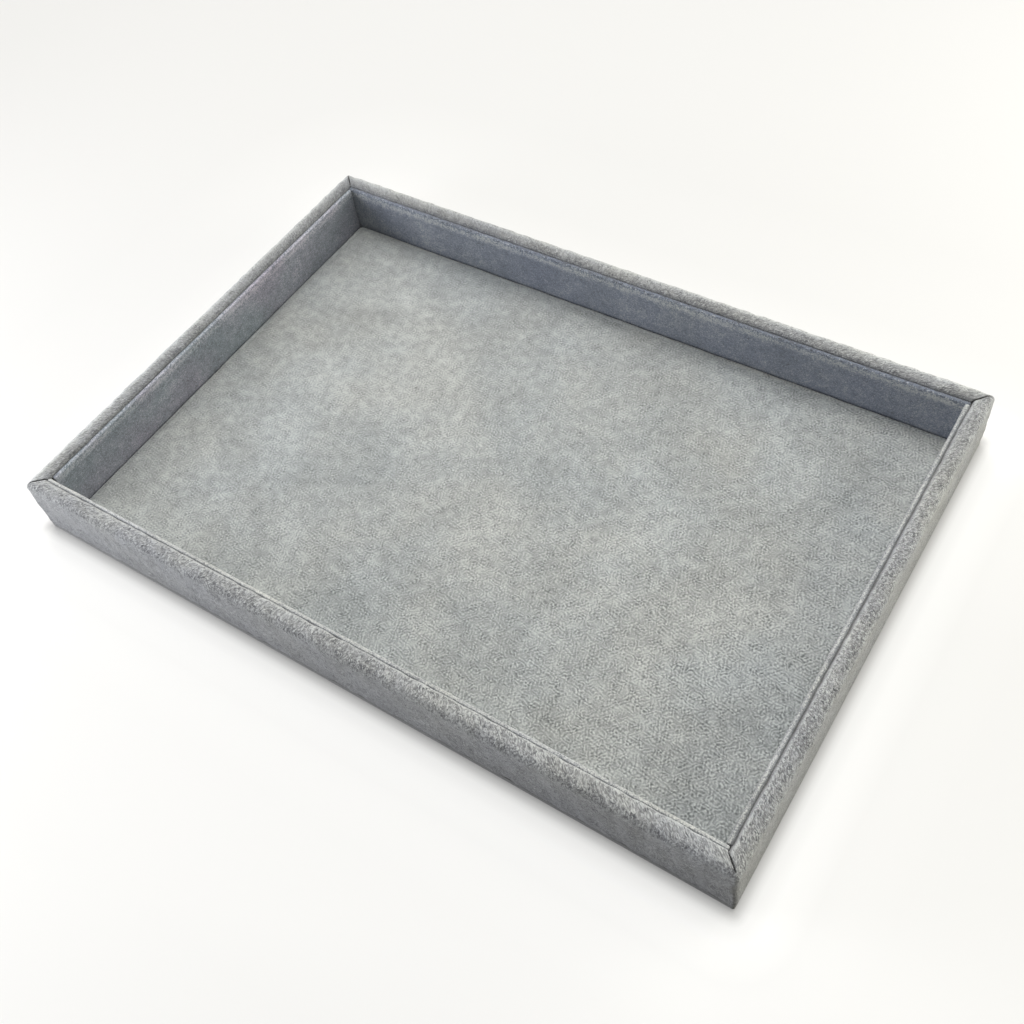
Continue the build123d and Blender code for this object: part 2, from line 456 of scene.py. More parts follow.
    def face(self, edge: np.ndarray, columns: Columns) -> Sheet:
        """The flat rectangle inside a ring, its lines of points meeting those of the ring's edge.

        Args:
            edge: The ring's inner edge, one point a column, before any unevenness.
            columns: The ring's columns.

        Returns:
            The grid. Its cloth coordinates are its own X and Y.
        """
        front = np.unique(np.round(edge[columns.side == Side.FRONT.value, 0], 4))
        right = np.unique(np.round(edge[columns.side == Side.RIGHT.value, 1], 4))
        x, y = np.meshgrid(front, right)
        flat = np.stack([x, y, np.full_like(x, edge[0, 2])], axis=-1)
        return Sheet(flat, flat * np.array([1.0, 1.0, 0.0]))


# Materials

NOISE_SPAN = (0.3, 0.7)  # nearly all of a noise's values lie between these
ELSEWHERE = (47.0, 13.0, 0.7)  # millimetres to where a noise has nothing to do with the one here


def linear(code: str) -> tuple[float, float, float, float]:
    """An sRGB hex colour as linear light.

    Args:
        code: The colour, such as "#a9abaa".

    Returns:
        Red, green, blue and an alpha of 1.
    """
    part = np.array([int(code[i : i + 2], 16) for i in (1, 3, 5)]) / 255.0
    light = np.where(part <= 0.04045, part / 12.92, ((part + 0.055) / 1.055) ** 2.4)
    return (*light.tolist(), 1.0)


def add(
    tree: Tree,
    kind: str,
    inputs: Mapping[str | int, object] | Sequence[object] = (),
    stops: Iterable[tuple[float, Sequence[float]]] = (),
    **settings: object,
) -> bpy.types.Node:
    """Adds a node with its settings, values and links.

    Args:
        tree: The material's or world's node tree.
        kind: The node's type name, without the ShaderNode before it.
        inputs: For each input, by its name or number or else in order from the first: a value, an
            output socket, or a node whose first output is meant.
        stops: A colour ramp's stops, each a place and a colour.
        settings: The node's own properties.

    Returns:
        The node.
    """
    node = tree.nodes.new(f"ShaderNode{kind}")
    for name, value in settings.items():
        setattr(node, name, value)
    for name, value in inputs.items() if isinstance(inputs, Mapping) else enumerate(inputs):
        if isinstance(value, bpy.types.Node):
            value = value.outputs[0]
        if isinstance(value, Socket):
            tree.links.new(value, node.inputs[name])
        else:
            node.inputs[name].default_value = value
    for number, (at, colour) in enumerate(stops):
        ramp = node.color_ramp.elements
        if number == 0:
            ramp.remove(ramp[1])
        stop = ramp.new(at) if number else ramp[0]
        stop.position, stop.color = at, colour
    return node


def blank(name: str) -> tuple[bpy.types.Material, Tree]:
    """A new material with an empty node tree.

    Args:
        name: Its name.

    Returns:
        The material and its tree.
    """
    material = bpy.data.materials.new(name)
    material.use_nodes = True
    material.node_tree.nodes.clear()
    return material, material.node_tree


def stepped(tree: Tree, distance: Socket | bpy.types.Node, steps: Steps) -> bpy.types.Node:
    """A value that runs straight from step to step over a distance.

    Args:
        tree: The material's tree.
        distance: The distance.
        steps: Pairs of a distance and the value there, which lies between -1 and 1.

    Returns:
        The node whose first output is the value.
    """
    reach = max(steps[-1][0], 1.0)
    share = add(tree, "Math", (distance, reach), operation="DIVIDE")
    greys = [(at / reach, (0.5 + 0.5 * value,) * 3 + (1.0,)) for at, value in steps]
    ramp = add(tree, "ValToRGB", (share,), stops=greys)
    return add(tree, "Math", (ramp, 2.0, -1.0), operation="MULTIPLY_ADD")


@dataclass(frozen=True)
class Velvet:
    """Short-pile velvet: polyester pile on a woven back, brushed and pressed.

    The pile's tips catch light at a low angle and its depths stay dark, which is sheen over a rough
    base. It parts in thin winding creases, deep where it was ruffled or bent over an edge and
    shallow where it was stroked flat, and it lies in larger patches that were stroked different
    ways. The creases are also darker and the pile between them paler in its colour, partly the
    pile's own parting and partly painted shade and highlight, and its paleness across the strip is
    painted light and shade. Across and along mean across and along the strip that a cover was cut
    from.
    """

    name: str
    body: str  # the colour of the pile seen from straight above
    tips: str  # where the pile stands up between the creases, partly painted highlight
    depths: str  # down in a crease, partly painted shade
    crease: float = 1.35  # millimetres from one crease to the next
    crease_depth: float = 1.25
    stretch: float = 1.0  # how many times longer the creases run across than along
    curl: float = 0.9  # how far the creases curl back on themselves
    wander: float = 1.2  # how far they wander, in their own widths
    winding: float = 0.0  # radians by which long ridges wind, or zero for short curled creases
    ridge_turns: tuple[float, ...] = (20.0, 80.0, 140.0)  # the ridges' directions, in degrees
    ridge_height: float = 0.13
    ridge_breaks: float = 0.42  # how far a finer noise breaks the ridges up
    ragged: float = 1.6  # millimetres by which a crease of full depth shifts the steps across
    grain: float = 0.5  # millimetres; single fibres are far finer, and would not show
    grain_contrast: float = 0.09
    cloud: float = 4.5  # millimetres across a clump of pile
    cloud_contrast: float = 0.09
    cloud_depth: float = 0.35  # the share by which the creases are deeper or shallower in a clump
    patch: float = 26.0  # millimetres across a stroked patch
    patch_contrast: float = 0.10
    patch_roughness: float = 0.55  # how much of that contrast lies in ever smaller patches
    tint_share: float = 0.6  # a stroked patch's size, as a share of a tinted patch's
    warm: str = "#fffffb"  # what some patches are tinted by
    cool: str = "#fcfdff"  # and the others
    ruffles: Steps = ((0.0, 1.0),)  # how deep the creases are, at distances across
    painted_tones: Steps = ((0.0, 0.0),)  # painted light and shade: how much paler the pile is, across
    far_painted_tones: Steps = ()  # the same for the frame's back and left sides, if they differ
    far_from: float = 590.0  # millimetres along to where those sides begin
    calm: float = 1.0  # how deep the creases are at the calmest place along, growing to 1 from it
    calm_at: float = 940.0  # millimetres along to that place
    calm_reach: float = 300.0
    deepened: tuple[float, float] = (0.0, 0.0)  # what a metre of X and of Y adds to their depth
    smoothed: float = 0.0  # by how much less deep they are everywhere
    relief: float = 0.3  # millimetres between the depths and the tips
    sheen: float = 0.5
    sheen_roughness: float = 0.5
    sheen_tint: str = "#ffffff"
    cut_shade: float = 0.12  # painted shade down in a cut: how much of its colour is left there
    cut_span: tuple[float, float] = (0.1, 0.8)  # shares of a cut's depth over which that fades

    def ridges(self, tree: Tree, cloth: Socket) -> Socket:
        """Long winding ridges of one width, as pressed pile shows: about 0 on average.

        With k one of three directions, 60 degrees apart, over the ridges' width, it is the sum of
        w * sin(2 pi k.p + phase), where the phase and the weight w are smooth noises of their own
        for each direction. A finer noise then breaks the ridges up.

        Args:
            tree: The material's tree.
            cloth: The cloth's own coordinates.

        Returns:
            The socket of the pattern.
        """
        moved = add(tree, "VectorMath", (cloth, ELSEWHERE), operation="ADD")
        phase, choice, broken = (  # each with how often it changes within a ridge's width
            add(tree, "TexNoise", {"Vector": at, "Scale": often / self.crease, "Detail": 0.0})
            for at, often in ((cloth, 0.62), (moved, 0.5), (moved, 2.0))
        )
        turns = 2.0 * math.pi / self.crease
        runs = []
        for angle in np.radians(self.ridge_turns):
            wave = (turns * math.cos(angle), turns * math.sin(angle), 0.0)
            run = add(tree, "VectorMath", (cloth, wave), operation="DOT_PRODUCT")
            runs.append(run.outputs["Value"])
        angles = (phase.outputs["Color"], (self.winding,) * 3, add(tree, "CombineXYZ", runs))
        bent = add(tree, "VectorMath", angles, operation="MULTIPLY_ADD")
        waves = add(tree, "VectorMath", (bent,), operation="SINE")
        low, high, none, full = ((end,) * 3 for end in (0.4, 0.6, 0.0, 1.0))
        span = {6: choice.outputs["Color"], 7: low, 8: high, 9: none, 10: full}
        weight = add(tree, "MapRange", span, data_type="FLOAT_VECTOR").outputs["Vector"]
        weighed = add(tree, "VectorMath", (waves, weight), operation="MULTIPLY")
        heights = (weighed, (self.ridge_height,) * 3)
        ridged = add(tree, "VectorMath", heights, operation="DOT_PRODUCT").outputs["Value"]
        breaks = add(tree, "Math", (broken, 0.5), operation="SUBTRACT")
        both = (breaks, self.ridge_breaks, ridged)
        return add(tree, "Math", both, operation="MULTIPLY_ADD").outputs[0]

    def creases(self, tree: Tree, cloth: Socket) -> Socket:
        """The crease pattern, about 0 on average, low along thin winding lines.

        It is the sum of two smooth noises about their middles, the second finer and weaker, read at
        places moved by a coarser noise so that the lines bend. One octave of noise holds no lengths
        far from its own, as the pile's creases do.

        Args:
            tree: The material's tree.
            cloth: The cloth's own coordinates.

        Returns:
            The socket of the pattern.
        """
        narrow = (1.0, 1.0 / self.stretch, 1.0)
        stretched = add(tree, "VectorMath", (cloth, narrow), operation="MULTIPLY")
        coarse = {"Vector": stretched, "Scale": 0.4 / self.crease, "Detail": 2.0}
        wander = add(tree, "TexNoise", coarse).outputs["Color"]
        offset = add(tree, "VectorMath", (wander, (0.5,) * 3), operation="SUBTRACT")
        moves = (offset, (self.wander * self.crease,) * 3, stretched)
        bent = add(tree, "VectorMath", moves, operation="MULTIPLY_ADD")
        total: Socket | float = 0.0
        for often, strength, move in (
            (1.6, 1.0, (0.0, 0.0, 0.7)),
            (2.4, 0.6, (61.0, 18.3, 0.7)),
        ):
            moved = add(tree, "VectorMath", (bent, move), operation="ADD")
            fine = {"Vector": moved, "Scale": often / self.crease, "Detail": 0.0}
            noise = add(tree, "TexNoise", fine | {"Distortion": self.curl})
            part = add(tree, "Math", (noise, 0.5), operation="SUBTRACT")
            added = (part, strength, total)
            total = add(tree, "Math", added, operation="MULTIPLY_ADD").outputs[0]
        return total

    def depth(self, tree: Tree, along: Socket, across: Socket, clumps: Socket) -> bpy.types.Node:
        """How deep the creases are: by the ruffles across, the calm along, the place and the clump.

        Args:
            tree: The material's tree.
            along: The distance along the strip.
            across: The distance across it.
            clumps: The noise of the clumps.

        Returns:
            The node whose first output is the depth.
        """
        place = add(tree, "TexCoord").outputs["Object"]
        growth = (place, (*self.deepened, 0.0))
        grown = add(tree, "VectorMath", growth, operation="DOT_PRODUCT").outputs["Value"]
        off = add(tree, "Math", (along, self.calm_at), operation="SUBTRACT")
        off = add(tree, "Math", (off,), operation="ABSOLUTE")
        calm = add(tree, "MapRange", (off, 0.0, self.calm_reach, self.calm, 1.0))
        ends = (1.0 + self.cloud_depth, 1.0 - self.cloud_depth)
        uneven = add(tree, "MapRange", (clumps, *NOISE_SPAN, *ends))
        depth = stepped(tree, across, self.ruffles)
        for operation, value in (
            ("ADD", grown),
            ("SUBTRACT", self.smoothed),
            ("MULTIPLY", self.crease_depth),
            ("MULTIPLY", calm),
            ("MULTIPLY", uneven),
        ):
            depth = add(tree, "Math", (depth, value), operation=operation)
        return depth

    def lift(self, tree: Tree, along: Socket, across: Socket, creases: Socket) -> bpy.types.Node:
        """How much paler the pile is by the tones across, which the creases make ragged.

        Args:
            tree: The material's tree.
            along: The distance along the strip.
            across: The distance across it.
            creases: The crease pattern.

        Returns:
            The node whose first output is the lift.
        """
        # The lift is painted light and shade across the strip.
        down = add(tree, "Math", (creases, self.ragged, across), operation="MULTIPLY_ADD")
        lift = stepped(tree, down, self.painted_tones)
        if self.far_painted_tones:
            beyond = stepped(tree, down, self.far_painted_tones)
            far = add(tree, "Math", (along, self.far_from), operation="GREATER_THAN")
            lift = add(tree, "Mix", {"Factor": far, "A": lift, "B": beyond})
        return lift

    def material(self) -> bpy.types.Material:
        """Builds the material, with its pattern on the cloth's own coordinates.

        The third of those is how deep a point lies in a cut, from 0 to 1, and paints shade there.
        """
        material, tree = blank(self.name)
        cloth = add(tree, "Attribute", attribute_name=CLOTH).outputs["Vector"]
        along, across, into = add(tree, "SeparateXYZ", (cloth,)).outputs
        clumps, grain, patch, hue = (
            add(tree, "TexNoise", {"Vector": cloth, "Scale": 1.0 / size} | noise)
            for size, noise in (
                (self.cloud, {"Detail": 2.0, "Roughness": 0.6}),
                (self.grain, {"Detail": 2.0, "Roughness": 0.6}),
                (self.patch, {"Detail": 4.0, "Roughness": self.patch_roughness, "Distortion": 0.6}),
                (self.patch / self.tint_share, {"Detail": 3.0, "Roughness": 0.6}),
            )
        )
        graining, patching, clouding = (
            add(tree, "MapRange", (noise, *NOISE_SPAN, middle - contrast, middle + contrast))
            for noise, middle, contrast in (
                (grain, 0.0, self.grain_contrast),
                (patch, 0.0, self.patch_contrast),
                (clumps, 0.5, self.cloud_contrast),
            )
        )
        creases = self.ridges(tree, cloth) if self.winding else self.creases(tree, cloth)
        depth = self.depth(tree, along, across, clumps.outputs[0])
        relief = add(tree, "Math", (creases, depth, graining), operation="MULTIPLY_ADD")
        tone = relief
        for part in (self.lift(tree, along, across, creases), patching, clouding):
            tone = add(tree, "Math", (tone, part), operation="ADD")
        # Darker depths in the creases are partly painted shade, and paler tips partly painted
        # highlight.
        piles = ((0.0, self.depths), (0.5, self.body), (1.0, self.tips))
        pile = add(tree, "ValToRGB", (tone,), [(at, linear(code)) for at, code in piles])
        tints = ((0.38, self.cool), (0.62, self.warm))
        tint = add(tree, "ValToRGB", (hue,), [(at, linear(code)) for at, code in tints])
        tinted = add(tree, "VectorMath", (pile, tint), operation="MULTIPLY")
        dark = add(tree, "MapRange", (into, *self.cut_span, 1.0, self.cut_shade))
        colour = add(tree, "VectorMath", {0: tinted, "Scale": dark}, operation="SCALE")
        raised = {"Height": relief, "Strength": 1.0, "Distance": self.relief * MM}
        surface = {
            "Base Color": colour,
            "Normal": add(tree, "Bump", raised),
            "Roughness": 1.0,
            "IOR": 1.45,
            "Specular IOR Level": 0.15,
            "Sheen Weight": self.sheen,
            "Sheen Roughness": self.sheen_roughness,
            "Sheen Tint": linear(self.sheen_tint),
        }
        add(tree, "OutputMaterial", (add(tree, "BsdfPrincipled", surface),))
        return material


@dataclass(frozen=True)
class PressedBoard:
    """Board pressed from pulp or fibre: a matt face with flecks and a faint cloudiness."""

    name: str
    body: str
    fleck: str
    fleck_size: float  # millimetres
    fleck_share: float = 0.7  # how much of the pattern the flecks make, and the clouds the rest
    cloud: float = 30.0  # millimetres across a cloud of darker pulp
    roughness: float = 0.85
    relief: float = 0.04  # millimetres

    def material(self) -> bpy.types.Material:
        """Builds the material on object coordinates."""
        material, tree = blank(self.name)
        place = add(tree, "TexCoord").outputs["Object"]
        clouds, flecks = (
            add(tree, "TexNoise", {"Vector": place, "Scale": 1.0 / (size * MM)} | noise)
            for size, noise in (
                (self.cloud, {"Detail": 3.0}),
                (self.fleck_size, {"Detail": 5.0, "Roughness": 0.7, "Distortion": 1.5}),
            )
        )
        pattern: bpy.types.Node | float = 0.0
        for noise, share in ((clouds, 1.0 - self.fleck_share), (flecks, self.fleck_share)):
            pattern = add(tree, "Math", (noise, share, pattern), operation="MULTIPLY_ADD")
        pulps = ((0.36, self.fleck), (0.60, self.body))
        pulp = add(tree, "ValToRGB", (pattern,), [(at, linear(code)) for at, code in pulps])
        raised = {"Height": flecks, "Strength": 0.6, "Distance": self.relief * MM}
        surface = {
            "Base Color": pulp,
            "Normal": add(tree, "Bump", raised),
            "Roughness": self.roughness,
            "IOR": 1.5,
        }
        add(tree, "OutputMaterial", (add(tree, "BsdfPrincipled", surface),))
        return material


@dataclass(frozen=True)
class DrawnWire:
    """Drawn steel wire: a bright metal with fine scratches along it."""

    name: str
    body: str
    scratch: float = 0.12  # millimetres
    relief: float = 0.01  # millimetres
    roughness: tuple[float, float] = (0.28, 0.5)

    def material(self) -> bpy.types.Material:
        """Builds the material on object coordinates."""
        material, tree = blank(self.name)
        place = add(tree, "TexCoord").outputs["Object"]
        fine = {"Vector": place, "Scale": 1.0 / (self.scratch * MM), "Detail": 3.0}
        scratches = add(tree, "TexNoise", fine)
        raised = {"Height": scratches, "Strength": 0.3, "Distance": self.relief * MM}
        surface = {
            "Base Color": linear(self.body),
            "Metallic": 1.0,
            "Roughness": add(tree, "MapRange", (scratches, 0.0, 1.0, *self.roughness)),
            "Normal": add(tree, "Bump", raised),
        }
        add(tree, "OutputMaterial", (add(tree, "BsdfPrincipled", surface),))
        return material


# The finishes of this tray

# Plush on the frame: stroked flat up the outer wall, and ruffled over the crown. Its paleness
# across the strip is painted light and shade: darker low on the outer wall, paler up to the crown's
# shoulder, and a painted highlight where it turns into the groove. On the back and left sides
# painted shade darkens it towards the groove instead.
FRAME_VELVET = Velvet(
    name="grey_velvet_frame",
    body="#868788",
    tips="#b5b7b7",
    depths="#57585b",
    crease_depth=1.38,
    stretch=1.2,
    ruffles=((0.0, 0.8), (28.0, 0.8), (31.0, 1.0), (39.0, 0.95), (41.0, 0.4)),
    calm=0.6,
    painted_tones=(
        *((0.0, -0.34), (6.0, -0.26), (9.0, -0.17), (14.0, -0.07), (19.0, 0.04), (27.0, 0.09)),
        *((29.8, 0.13), (31.0, 0.22), (32.3, 0.13), (34.0, -0.02), (36.0, 0.0), (38.2, 0.05)),
        *((38.9, 0.17), (39.6, 0.31), (40.2, 0.08), (40.8, -0.15)),
    ),
    far_painted_tones=(
        *((0.0, -0.36), (10.0, -0.31), (14.0, -0.22), (19.0, -0.09), (27.0, 0.0), (31.0, 0.27)),
        *((35.0, 0.34), (36.0, 0.22), (36.8, 0.06), (37.6, -0.12), (38.6, -0.23), (39.6, -0.25)),
        *((40.4, -0.2), (41.1, -0.25)),
    ),
)

# The liners' pile lies flat on their faces. Their paleness across the strip is painted light and
# shade: a painted highlight over their inner top edge, and painted shade in the groove. Their
# bluish tint, strongest on the back and left ones, is painted cool shade. The front and right ones
# are seen from above, the others from inside.
FRONT_LINER_VELVET = Velvet(
    name="grey_velvet_liner",
    body="#7a7c7f",
    tips="#c3c4c1",
    depths="#4e4f52",
    crease_depth=0.8,
    ruffles=((0.0, 0.4), (26.6, 0.4), (27.6, 0.8), (33.0, 0.6), (36.0, 0.4)),
    ragged=0.4,
    painted_tones=(
        *((0.0, -0.5), (25.8, -0.3), (26.3, -0.15), (26.8, 0.0), (27.2, 0.28), (27.9, 0.32)),
        *((28.4, 0.14), (28.9, -0.06), (31.0, 0.1), (34.0, 0.0)),
    ),
    cloud_contrast=0.05,
    grain_contrast=0.2,
    relief=0.15,
)
RIGHT_LINER_VELVET = replace(
    FRONT_LINER_VELVET,
    name="grey_velvet_right_liner",
    painted_tones=(
        *((0.0, -0.5), (25.8, -0.1), (26.6, -0.1), (26.9, 0.0), (27.2, 0.2), (27.8, 0.28)),
        *((28.3, 0.1), (28.9, -0.05), (31.0, 0.1), (34.0, 0.0)),
    ),
)
BACK_LINER_VELVET = replace(
    FRONT_LINER_VELVET,
    name="grey_velvet_back_liner",
    # Bluer than the front liner's, as painted cool shade.
    body="#747b88",
    ragged=1.2,
    grain_contrast=0.15,
    cloud_contrast=0.08,
    ruffles=((0.0, 0.5), (26.6, 0.6), (27.6, 1.0), (31.5, 0.9), (33.5, 0.6)),
    painted_tones=(
        *((0.0, -0.5), (25.8, -0.1), (27.0, -0.2), (27.5, -0.15), (28.0, 0.0), (28.9, 0.14)),
        *((29.9, 0.22), (31.0, 0.19), (32.1, 0.07), (33.2, 0.0)),
    ),
)
LEFT_LINER_VELVET = replace(
    BACK_LINER_VELVET,
    name="grey_velvet_left_liner",
    # Bluish, as painted cool shade.
    body="#7f828b",
    tips="#c9c4cd",
    warm="#fffbff",
    cool="#f4fffc",
    painted_tones=(
        *((0.0, -0.4), (25.8, -0.05), (26.8, 0.0), (27.3, 0.15), (27.8, 0.18), (28.4, 0.1)),
        *((29.9, 0.16), (31.0, 0.12), (32.0, -0.03), (33.2, -0.03)),
    ),
)

# The floor's pile is pressed, and parts in ridges all over, deeper towards the front right.
FLOOR_VELVET = Velvet(
    name="grey_velvet_floor",
    body="#959797",
    tips="#bfc1c0",
    depths="#6b6e6e",
    crease=1.5,
    crease_depth=1.15,
    winding=8.0,
    grain_contrast=0.03,
    cloud_contrast=0.135,
    patch=45.0,
    patch_contrast=0.16,
    patch_roughness=0.75,
    cool="#fcffff",
    deepened=(2.1, -1.5),
    smoothed=0.1,
)

# The base panel's pile is short, flat and a little greener.
BASE_VELVET = Velvet(
    name="grey_velvet_base",
    body="#50514d",
    tips="#6f706b",
    depths="#3e3f3b",
    crease_depth=0.6,
    relief=0.08,
)

# Medium density fibreboard, sawn: a warm tan face with short darker fibres.
FIBREBOARD = PressedBoard(
    name="fibreboard_sawn", body="#b99b72", fleck="#8f7248", fleck_size=0.9
)

# Greyboard, pressed from waste paper: cool grey with small dark flecks.
GREYBOARD = PressedBoard(
    name="greyboard_pressed", body="#a3a29c", fleck="#76756f", fleck_size=0.6
)

# Black lining card, calendered: nearly smooth, with a faint tooth.
CARD = PressedBoard(
    name="backing_card_calendered",
    body="#3c3d3f",
    fleck="#303133",
    fleck_size=0.4,
    roughness=0.7,
    relief=0.02,
)

# Bright flat wire with drawing marks.
WIRE = DrawnWire(name="steel_wire_drawn", body="#b9babb")


# The soft pieces


@dataclass(frozen=True)
class Finished:
    """It names what the piece rides on, what it stands for, and the cloth that it was cut from.
    """

    piece: bpy.types.Object
    body: str
    node: str
    slot: str
    flat: tuple[float, float]
    rests_on: tuple[str, ...]
    area: float | None = None

    def declare(self) -> None:
        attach(self.piece, self.body)
        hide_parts(self.node)
        count = sum(len(face.vertices) - 2 for face in self.piece.data.polygons)
        LOG.info("%s: %d triangles, rides on %s", self.piece.name, count, self.body)


@dataclass(frozen=True)
class FrameWrap:
    """The velvet strip round the frame: foot, outer wall, crown, and a lip down the inner side.

    An inset is measured from the frame's outer face, and a height from the table.
    """

    ring: Ring
    finish: bpy.types.Material
    height: float = 32.0
    bottom: float = 4.2
    velvet: float = 0.7
    turned: float = 0.5
    thickness: float = 7.4  # of the covered rail
    shoulder: float = 3.3  # radius of the crown's outer side
    groove: float = 1.9  # radius of its inner side
    foot: float = 0.5
    lip: float = 20.0  # height of the lip's lower edge
    cut_width: float = 0.6
    cut_depth: float = 0.5
    cut_starts: tuple[float, ...] = (1.7, 1.2, 0.8, 0.8)  # at the end of each side, front first
    cut_opening: float = 0.45  # over which it opens from there
    cut_above: Rise = (29.6, 1.2)  # a height
    cut_narrows: Rise = (6.0, 1.0)  # an inset
    cut_closed: float = 0.65  # how much of it closes again there
    set_in: float = 0.25  # how much of a column's setback is left where no cut opens
    seam_distance: float = 14.0
    seam_depth: float = 0.8  # as a share of the cuts'
    drifts: tuple[tuple[float, float, float], ...] = (
        (-0.5, 0.5, 0.7),
        (-0.5, -0.6, -0.3),
        (0.7, 0.9, 0.6),
        (0.7, 0.8, 0.8),
    )  # inwards, of the crown's inner edge, at the start, middle and end of each side
    drift_above: Rise = (29.7, 1.5)  # a height
    drift_inside: Rise = (3.5, 2.5)  # an inset
    lofts: tuple[float, ...] = (0.1, 0.1, 0.38, 0.38)  # of the crown's outer side, front first
    loft_above: Rise = (27.0, 3.0)  # a height
    loft_outside: Rise = (5.0, -3.0)  # an inset
    loft_blend: float = 8.0  # over which one side's loft goes over into the next one's
    unevenness: float = 0.10
    waviness: Waviness = Waviness(18.0, 5.0, 11)

    def section(self) -> np.ndarray:
        """The closed section: the turned margin, round the outside, and back along the rail.

        Its rows stand close together where the pile shows, and far apart where it is hidden.
        """
        t, v, top = self.thickness, self.velvet, self.height
        rail, low, fold = t - v, self.bottom, self.bottom + self.turned
        heel, brow, inner = self.bottom + self.foot, top - self.shoulder, top - self.groove
        crown, fall = self.shoulder, t - self.groove
        return joined(
            straight((rail, low), (self.foot, low), 2.5),
            arc((self.foot, heel), self.foot, 270, 180, 4),
            straight((0.0, heel), (0.0, brow), 1.6),
            arc((crown, brow), self.shoulder, 180, 90, 12),
            straight((crown, top), (fall, top), 0.45),
            arc((fall, inner), self.groove, 90, 0, 7),
            straight((t, inner), (t, self.lip), 2.5),
            straight((t, self.lip), (rail, self.lip), 1.0),
            straight((rail, self.lip), (rail, inner), 5.0),
            arc((fall, inner), self.groove - v, 0, 90, 3),
            straight((fall, top - v), (crown, top - v), 3.0),
            arc((crown, brow), self.shoulder - v, 90, 180, 4),
            straight((v, brow), (v, fold), 12.0),
            straight((v, fold), (rail, fold), 3.0),
            straight((rail, fold), (rail, low), 1.0),
        )

    def outside(self, section: np.ndarray) -> np.ndarray:
        """Which rows of the section lie on the pile's side: those before the lip turns back."""
        row = np.arange(len(section))[:, None]
        edge = np.all(np.abs(section - (self.thickness, self.lip)) < SAME, axis=1)
        return (row > 0) & (row < np.flatnonzero(edge)[0])

    def opening(self, section: np.ndarray, columns: Columns) -> np.ndarray:
        """How far the mitre's cut is open at each point, from each side's start to the groove."""
        inset, height = section[:, :1], section[:, 1:]
        starts = np.array(self.cut_starts)
        before = starts[(columns.number - 1) % 4]
        begins = np.where(columns.share < 0, before, starts[columns.number])
        opening = ease(inset, begins, self.cut_opening) * ease(height, *self.cut_above)
        return opening * (1.0 - self.cut_closed * ease(inset, *self.cut_narrows))

    def loft(self, columns: Columns) -> np.ndarray:
        """How far the pile stands proud at each column: by sides, met smoothly at the corners."""
        lofts, number = np.array(self.lofts), columns.number
        from_end = self.ring.halves[number] * (1.0 - np.abs(columns.share))
        beside = np.where(columns.share < 0, lofts[(number - 1) % 4], lofts[(number + 1) % 4])
        corner = 0.5 * (lofts[number] + beside)
        return corner + (lofts[number] - corner) * ease(from_end, 0.0, self.loft_blend)

    def drift(self, columns: Columns) -> np.ndarray:
        """How far the inner edge wanders inwards at each column."""
        values = np.array(self.drifts)[columns.number].T
        return bowed(values, np.clip(columns.share, -1.0, 1.0))

    def build(self) -> Finished:
        """Carries the section round, sinks the cuts and the seam, and adds the unevenness."""
        section = self.section()
        columns = self.ring.columns(self.cut_width, self.seam_distance)
        outside = self.outside(section)
        opening = self.opening(section, columns) * outside
        plain = self.ring.carry(section, columns)
        wave = self.waviness.at(plain.points) * self.unevenness
        inset, height = section[:, :1], section[:, 1:]
        proud = ease(height, *self.loft_above) * ease(inset, *self.loft_outside)
        upper = ease(height, *self.drift_above) * ease(inset, *self.drift_inside)
        seam = outside * columns.seam * self.seam_depth
        sink = self.cut_depth * np.maximum(opening * columns.cut, seam)
        sink = sink + (wave - proud * self.loft(columns)) * outside
        spread = self.set_in + (1.0 - self.set_in) * opening
        lean = upper * outside * self.drift(columns)
        grid = self.ring.carry(section, columns, -sink, spread, lean)
        grid.cloth[..., 2] = opening * columns.cut
        piece = made("frame_velvet_cover", [grid])
        piece.data.materials.append(self.finish)
        around = 2 * (self.ring.length + self.ring.width)
        across = float(plain.cloth[int(outside.sum()), 0, 1])
        return Finished(
            piece,
            body="tray",
            node="frame_velvet_wrap",
            slot="frame_velvet",
            flat=(across * MM, around * MM),
            rests_on=("front_rail", "right_rail", "back_rail", "left_rail"),
        )


